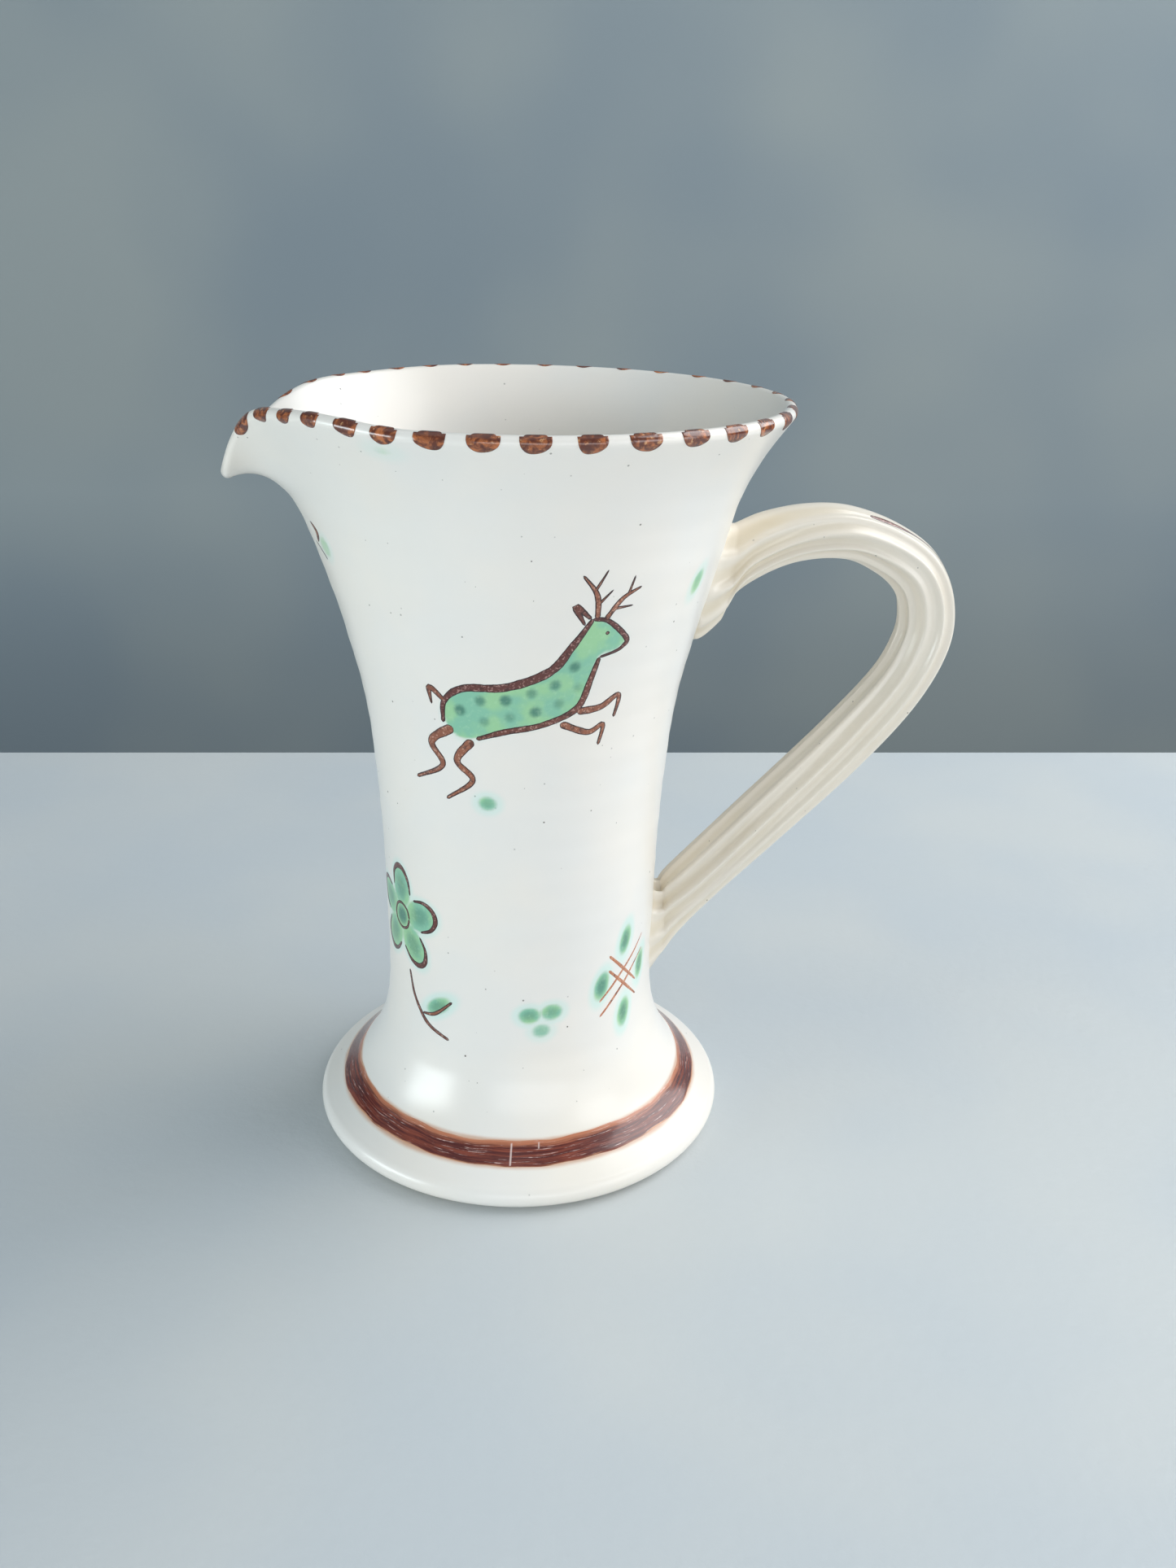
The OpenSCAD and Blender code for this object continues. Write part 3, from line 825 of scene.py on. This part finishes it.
def inner_low(az, z):
    """Inside of the lower wall: a straight bore that opens out to meet the upper wall."""
    offset = inside(az, np.full_like(az, z))
    r = np.linalg.norm(offset[..., :2], axis=-1)
    share = smoothstep(z, 44, 70)
    out = spun(az, FLOOR_R + (r - FLOOR_R) * share, z)
    out[..., 2] += (offset[..., 2] - z) * share
    return out


def grid_normals_joined(points):
    """Normals of the whole profile, where runs that share a row share its normals too."""
    side = np.roll(points, -1, 1) - np.roll(points, 1, 1)
    step = points[1:] - points[:-1]
    length = np.linalg.norm(step, axis=-1, keepdims=True)
    heading = np.where(length > 1e-6, unit(step), 0)
    up = np.zeros_like(points)
    up[:-1] += heading
    up[1:] += heading
    for i in range(1, len(points)):
        if np.allclose(points[i], points[i - 1]):
            up[i] = up[i - 1] = up[i] + up[i - 1]
    flat = np.linalg.norm(side, axis=-1, keepdims=True) < 1e-6
    normal = unit(np.cross(side, up))
    straight = np.where(points[..., 2:] < (RECESS + FLOOR_TOP) / 2, -1.0, 1.0) * np.array([0, 0, 1.0])
    return np.where(flat, straight, normal)


def join_runs(piece, points, normals, marks, spans, cols):
    """Strips that join the outside to the lip and the lip to the inside."""
    for above, below in (("wall_high", "lip"), ("lip", "in_high")):
        pair = [spans[above][1] - 1, spans[below][0]]
        piece.sheet(points[pair][:, cols], normals[pair][:, cols], marks[pair][:, cols])


# ---- handle ---------------------------------------------------------------------------------------

ROUND = 150


def make_handle(glaze):
    """Fluted strap with its two luted roots, split into three pieces at its ends."""
    b = np.linspace(0, 360, ROUND, endpoint=False)
    last = len(STRAP) - 1
    t = np.linspace(0, last, 210)
    points = strap(t[:, None], -b[None])
    seats = []
    for station, edges, ahead in (
        (0, (169.0, 141.2), strap(0, -b) - strap(0.25, -b)),
        (last, (39.0, 69.0), strap(last, -b) - strap(last - 0.25, -b)),
    ):
        start = strap(station, -b)
        seats.append(luting_rows(start, unit(ahead), edges, -b))
    upper, lower = seats
    rows = np.concatenate([upper[::-1], points, lower])
    normals = grid_normals(rows, True)
    near, q = ridge(t[:, None], -b[None])
    # Painted shade: buff in every groove of the strap, deeper near the roots, and over the inner face by the
    # roots
    root = np.maximum(1 - smoothstep(t, 0.4, 4.5), smoothstep(t, last - 4.6, last - 0.6))[:, None]
    groove = (1 - near) * (0.34 + 0.26 * root)
    groove = np.maximum(groove, 0.5 * root * smoothstep(q, 0.45, 0.95))
    ends = [np.broadcast_to(groove[k] * 0.9, (len(s), ROUND)) for k, s in ((0, upper), (-1, lower))]
    tan = np.concatenate([ends[0], groove, ends[1]])
    marks = np.zeros(rows.shape[:2] + (len(GLAZE_MARKS),))
    marks[..., GLAZE_MARKS.index("tan")] = tan
    a, c = len(upper), len(upper) + len(t)
    for name, node, first, end in (
        ("upper_luting", "handle_upper_joint", 0, a + 1),
        ("strap_handle", "handle", a, c),
        ("lower_luting", "handle_lower_joint", c - 1, len(rows)),
    ):
        piece = Piece(GLAZE_MARKS)
        piece.sheet(rows[first:end], normals[first:end], marks[first:end], True)
        piece.end(rows[first][::-1])
        piece.end(rows[end - 1])
        piece.build(name, glaze, "glazed_handle", [node])


def luting_rows(start, ahead, edges, b):
    """Rings from the strap's end, flowing out onto the wall in a small fillet."""
    reach = 3.2
    c, s = np.cos(np.radians(b)), np.sin(np.radians(b))
    mid, half = (edges[0] + edges[1]) / 2, (edges[0] - edges[1]) / 2
    seat_z = mid + half * c
    seat_y = 1.17 * STRAP_HALF_W * s
    seat = np.stack([np.sqrt(wall_r(seat_z) ** 2 - seat_y**2) - 0.15, seat_y, seat_z], -1)
    touch = start.copy()
    for _ in range(4):
        gap = np.hypot(touch[:, 0], touch[:, 1]) - wall_r(touch[:, 2])
        touch = touch + ahead * np.clip(gap / np.maximum(-ahead[:, 0], 0.3), -2, reach * 2)[:, None]
    share = np.linspace(0, 1, 12)[1:, None, None]
    bend = 0.35 * touch + 0.65 * seat
    return (1 - share) ** 2 * start + 2 * share * (1 - share) * bend + share**2 * seat


# ---- slip ------------------------------------------------------------------------------------------

DAB_COUNT = 38
DAB_CROWDING = 10.7
DAB_HALF_ANGLE = 3.05
DAB_DEPTH = 1.0
DAB_SHOULDER = 1.9
DAB_CREST = 2.8
DAB_INSIDE = 1.7
SCRATCH_AT = 262.2
NOTCH_AT = 270.6


def dab_azimuth(i):
    """Azimuth of a dab: closer to its neighbours the nearer it is to the beak."""
    turn = 360 * (i + 0.5) / DAB_COUNT
    return SPOUT_DIR + turn - DAB_CROWDING * math.sin(math.radians(turn)) - 1.3


def make_dabs(material):
    """Half-moon dabs over the lip, none on the tip of the beak."""
    piece = Piece(INK_MARKS)
    rng = np.random.default_rng(7)
    for i in range(2, DAB_COUNT - 1):
        beside_beak = float(bell(dab_azimuth(i) - 216, 40))
        centre = dab_azimuth(i) + rng.uniform(-0.35, 0.35)
        half = DAB_HALF_ANGLE * rng.uniform(0.92, 1.08) * (1 - 0.26 * beside_beak)
        depth = DAB_DEPTH * rng.uniform(0.8, 1.25) * (1 - 0.55 * beside_beak)
        lean = rng.uniform(-0.2, 0.2)
        s = np.sin(np.linspace(-1, 1, 27) * math.pi / 2)[None]
        k = np.linspace(0, 1, 19)[:, None]
        side = np.sqrt(np.maximum(0, 1 - np.abs(s) ** 2.4))
        bottom = (depth + DAB_SHOULDER) * side * (1 + lean * s * side) - DAB_SHOULDER
        top = -DAB_CREST - DAB_INSIDE * np.sqrt(np.maximum(0, 1 - (s / 0.7) ** 2))
        down = bottom + (top - bottom) * k
        az = centre + half * s + 0 * k
        _, _, _, n = on_surface(lip, az, down, 0.2, 0.05)
        dome = np.sqrt(np.maximum(0, (1 - s**8) * (1 - (2 * k - 1) ** 8)))
        top_points = lip(az, down) + n * (0.13 * dome - 0.03)[..., None]
        under = lip(az, down) - n * (0.03 + 0.12 * dome)[..., None]
        width_mm = half * math.radians(1) * RIM_R
        to_side = (1 - np.abs(s)) * width_mm + 0 * k
        to_low = (bottom - down) * np.sqrt(np.maximum(0.08, 1 - s**2))
        margin = np.minimum(np.maximum(to_side, 0.6 * (down < -2.2)), to_low)
        edge = 1 - np.clip(margin / 1.2, 0, 1)
        marks = np.stack([edge, down, np.zeros_like(edge)], -1)
        piece.sheet(top_points, grid_normals(top_points, False), marks)
        piece.cap(under[:, ::-1])
    piece.build("rim_dab_slip", material, "brown_slip", ["rim_dabs"])


def make_band(material):
    """Brushed band round the foot, with a scratch and a notch at the front."""
    piece = Piece(INK_MARKS)
    az = np.concatenate([
        np.linspace(start, stop, count, endpoint=False)
        for start, stop, count in ((0, 256, 340), (256, 276, 140), (276, 360, 112))
    ])
    a = np.radians(az)
    low = BAND_LOW - 0.05 + 0.14 * (np.sin(5 * a + 1) + np.sin(13 * a) * 0.6 + np.sin(31 * a + 2) * 0.4)
    high = BAND_HIGH - 0.1 + 0.2 * (np.sin(4 * a) + np.sin(11 * a + 2) * 0.6 + np.sin(27 * a) * 0.4)
    k = np.linspace(0, 1, 22)[:, None]
    z = low + (high - low) * k
    dome = (1 - (2 * k - 1) ** 8) ** 0.5
    place = az[None] + 0 * k
    _, n = thrown_frame(place, z)
    top = thrown(place, z) + n * (0.09 * dome - 0.025)[..., None]
    under = thrown(place, z) - n * (0.025 + 0.12 * dome)[..., None]
    scratch = 1 - smoothstep(np.abs(place - SCRATCH_AT - 0.25 * k), 0.12, 0.38)
    scratch = scratch * (k > 0.06) * (k < 0.9)
    notch = 1 - smoothstep(np.abs(place - NOTCH_AT - 0.8 * k), 0.1, 0.36)
    notch = notch * (k > 0.62) * (k < 0.86)
    marks = np.stack([k + 0 * place, place * 0.9, np.maximum(scratch, 0.8 * notch)], -1)
    piece.sheet(top, grid_normals(top, True), marks, True)
    piece.cap(under[:, ::-1], True)
    piece.build("foot_band_slip", material, "brown_slip", ["foot_band"])


# Brush strokes: how light the slip is, and then places in mm with the width of the stroke
DEER_LINES = [
    (0.0, [(14, 25, 1.2), (9, 18, 2.2), (4, 12, 2.6), (-6, 8, 2.4), (-16, 7, 2.2), (-21, 3, 1.6),
           (-21.5, -3, 1.2)]),
    (0.1, [(-13, -6.5, 1.2), (-6, -4, 1.8), (3, -2, 1.8), (11, 2, 2.0), (14, 9, 1.8), (16, 15, 1.2)]),
    (0.0, [(14, 25, 1.2), (18, 24, 1.4), (23, 19, 1.6), (22, 17, 1.2), (20, 16, 1.0), (16, 15, 0.8)]),
    (0.1, [(13.5, 25, 1.0), (9.5, 28.5, 1.9), (12, 23.5, 0.8)]),
    (0.0, [(17.2, 21.2, 1.0), (18.2, 21.0, 1.2)]),
    (0.3, [(-21, 3, 1.4), (-25, 6, 1.8), (-24.5, 1.5, 0.6)]),
]
LEGS = [
    (0.4, [(11, 1, 2.4), (17, 1.5, 2.0), (22, 4, 1.6), (21, -2, 1.0)]),
    (0.5, [(7, -2, 2.2), (14, -5, 1.8), (18, -3.5, 1.5), (17, -9, 1.0)]),
    (0.4, [(-19, -4, 3.0), (-25, -9, 2.2), (-22, -15, 1.7), (-30, -20, 1.0)]),
    (0.5, [(-14, -7, 2.8), (-18, -13, 2.0), (-14, -18, 1.7), (-21, -24, 1.0)]),
]
ANTLERS = [
    (0.5, [(15, 25, 1.6), (14.5, 31, 1.5), (11, 36, 0.7)]),
    (0.5, [(14.8, 28.5, 1.0), (18.5, 32, 0.5)]),
    (0.5, [(14, 32, 1.0), (17, 37, 0.5)]),
    (0.5, [(17, 24.5, 1.6), (21, 29.5, 1.4), (26, 32, 0.7)]),
    (0.5, [(19, 27.2, 1.0), (24, 27.5, 0.5)]),
    (0.5, [(22.5, 30.4, 1.0), (24, 35, 0.5)]),
]
STEM_LINES = [
    (0.2, [(3, -15, 0.9), (5, -22, 1.2), (10, -28, 1.3), (18, -31, 1.0)]),
    (0.4, [(8.5, -26, 0.8), (13, -24.6, 1.2), (18.5, -19.5, 0.8)]),
]


def flower_lines():
    """An outline round the outer end of each petal, a ring round the disc, and the stem."""
    lines = list(STEM_LINES)
    for k in range(PETAL_COUNT):
        knots = []
        for step, width in enumerate((0.7, 1.2, 1.7, 1.7, 1.2, 0.7)):
            a = math.radians(40 * step - 100)
            out, side = PETAL_OUT + PETAL_LONG * math.cos(a), PETAL_WIDE * math.sin(a)
            knots.append(petal_point(k, out, side) + (width,))
        lines.append((0.0, knots))
    ring = [math.radians(45 * k) for k in range(9)]
    lines.append((0.1, [(DISC_R * math.cos(a), DISC_R * math.sin(a), 0.9) for a in ring]))
    return lines


def placed(centre, lines):
    """Lines drawn in mm, as azimuth, height and width on the wall."""
    return [(tone, [on_wall(centre, x, y) + (w,) for x, y, w in knots]) for tone, knots in lines]


HATCH_AT = (314, 52)
BACK_HATCH_AT = (84, 114)
# A plain lattice: two light strokes each way, in mm
HATCH = [(1.0, [(-9, y - 7, 0.7), (0, y, 0.9), (9, y + 7, 0.5)]) for y in (-2.2, 2.2)]
HATCH += [(1.0, [(-6, y + 6, 0.8), (0, y, 1.0), (6, y - 6, 0.6)]) for y in (-2.2, 2.2)]
# Strokes given by azimuth and height, under the spout
SHOULDER = [
    (0.4, [(195.5, 173, 0.7), (198.0, 170.5, 2.0), (196.5, 168, 0.8)]),
    (0.1, [(194, 167.8, 0.6), (199.5, 164, 0.6)]),
]
# Strokes given by the handle's station and the angle round it
HANDLE_STROKE = [
    (0.15, [(3.35, -25, 1.0), (3.6, -24, 2.1), (3.95, -21, 1.9), (4.4, -17, 0.9), (4.9, -14, 0.65),
            (5.4, -12, 0.6), (5.9, -10, 0.4)]),
    (0.15, [(7.1, -30, 0.3), (7.5, -28, 0.5), (8.0, -24, 0.3)]),
]


def make_strokes(material):
    sets = (
        ("deer_brush_lines", wall, placed(DEER_AT, DEER_LINES)),
        ("deer_antlers", wall, placed(DEER_AT, ANTLERS)),
        ("deer_legs", wall, placed(DEER_AT, LEGS)),
        ("flower_brush_lines", wall, placed(FLOWER_AT, flower_lines())),
        ("hatch_lines", wall, placed(HATCH_AT, HATCH)),
        ("shoulder_motif", wall, SHOULDER),
        ("back_hatch_lines", wall, placed(BACK_HATCH_AT, HATCH)),
        ("handle_stroke", strap, HANDLE_STROKE),
    )
    for n, (name, surface, lines) in enumerate(sets):
        piece = Piece(INK_MARKS)
        lift, steps = (0.1, (0.02, 0.5)) if surface is strap else (0.07, (0.2, 0.2))
        for k, (tone, knots) in enumerate(lines):
            stroke(piece, surface, knots, tone, lift, 10 * n + k + 1, steps)
        piece.build(name, material, "brown_slip")


# ---- studio ---------------------------------------------------------------------------------------

def stage_plane(name, corners, material):
    mesh = bpy.data.meshes.new(name)
    mesh.from_pydata(corners, [], [(0, 1, 2, 3)])
    mesh.materials.append(material)
    made = bpy.data.objects.new(name, mesh)
    bpy.context.scene.collection.objects.link(made)


TABLE_TURN = -4.11
TABLE_EDGE = 0.2739
TABLE_SIDE = 2.5
BACKDROP_AWAY = 0.9


def make_stage():
    """Pale table with a straight far edge, and a soft grey backdrop behind it, in metres."""
    n = Nodes("pale_table")
    n.bump(n.noise(260, 3, 0.6), 0.0003, 0.5)
    shade = n.mix(n.step(n.noise(9, 2), 0.3, 0.7), tint(199, 206, 210), tint(207, 211, 211))
    table = n.finish(shade, 0.55)
    n = Nodes("grey_backdrop")
    shade = n.mix(n.step(n.noise(3, 2), 0.3, 0.7), tint(130, 142, 149), tint(148, 156, 156))
    back = n.finish(shade, 0.9)
    turn = math.radians(TABLE_TURN)
    sideways = Vector((math.cos(turn), math.sin(turn), 0))
    away = Vector((-math.sin(turn), math.cos(turn), 0))
    corners = ((-TABLE_SIDE, -TABLE_SIDE), (TABLE_SIDE, -TABLE_SIDE),
               (TABLE_SIDE, TABLE_EDGE), (-TABLE_SIDE, TABLE_EDGE))
    stage_plane("table_top", [sideways * x + away * y for x, y in corners], table)
    corners = ((-3, -1.2), (3, -1.2), (3, 2.2), (-3, 2.2))
    behind = away * BACKDROP_AWAY
    stage_plane("backdrop", [sideways * x + behind + Vector((0, 0, z)) for x, z in corners], back)


LIGHT_AIM = (0, 0, 0.1)


def soft_light(name, place, size, power, colour):
    """Rectangular light turned towards the middle of the pitcher."""
    data = bpy.data.lights.new(name, "AREA")
    data.shape = "RECTANGLE"
    data.size, data.size_y = size
    data.energy = power
    data.color = colour
    made = bpy.data.objects.new(name, data)
    made.location = place
    made.rotation_euler = (Vector(LIGHT_AIM) - Vector(place)).to_track_quat("-Z", "Y").to_euler()
    bpy.context.scene.collection.objects.link(made)


def make_lights():
    soft_light("window", (1.1, 0.15, 0.95), (1.3, 1.3), 19, (0.97, 0.985, 1.0))
    soft_light("overhead", (-0.1, -0.1, 1.5), (1.4, 1.4), 2.4, (0.90, 0.97, 1.0))
    soft_light("room_front", (0.1, -1.6, 0.22), (1.6, 0.5), 6.6, (0.975, 0.985, 1.0))
    soft_light("room_left", (-1.4, -0.45, 0.16), (0.9, 0.5), 13, (0.87, 0.97, 1.0))
    soft_light("room_right", (1.1, -0.9, 0.45), (0.8, 0.6), 5.0, (0.94, 0.97, 1.0))
    world = bpy.data.worlds.new("room")
    world.use_nodes = True
    world.node_tree.nodes["Background"].inputs[0].default_value = (0.61, 0.70, 0.77, 1)
    world.node_tree.nodes["Background"].inputs[1].default_value = 0.335
    bpy.context.scene.world = world


def make_camera():
    """Camera in front of the pitcher and a little to its spout's side, looking down at it."""
    distance, height, azimuth = 354.6, 244.9, math.radians(265.0)
    pitch, pan, roll = math.radians(22.52), math.radians(2.93), math.radians(1.386)
    data = bpy.data.cameras.new("camera")
    data.sensor_width, data.lens = 36, 32.44
    cam = bpy.data.objects.new("camera", data)
    heading = azimuth + math.pi - pan
    flat = math.cos(pitch)
    forward = Vector((math.cos(heading) * flat, math.sin(heading) * flat, -math.sin(pitch)))
    level = Vector((math.sin(heading), -math.cos(heading), 0))
    above = level.cross(forward)
    right = level * math.cos(roll) + above * math.sin(roll)
    up = right.cross(forward)
    place = Vector((math.cos(azimuth) * distance, math.sin(azimuth) * distance, height)) * MM
    cam.matrix_world = Matrix.Translation(place) @ Matrix((right, up, -forward)).transposed().to_4x4()
    bpy.context.scene.collection.objects.link(cam)
    bpy.context.scene.camera = cam


make_body(body_glaze())
make_handle(handle_glaze())
slip = ink()
make_dabs(dab_slip())
make_band(band_slip())
make_strokes(slip)
make_stage()
make_lights()
make_camera()
bpy.context.scene.view_settings.view_transform = "Standard"
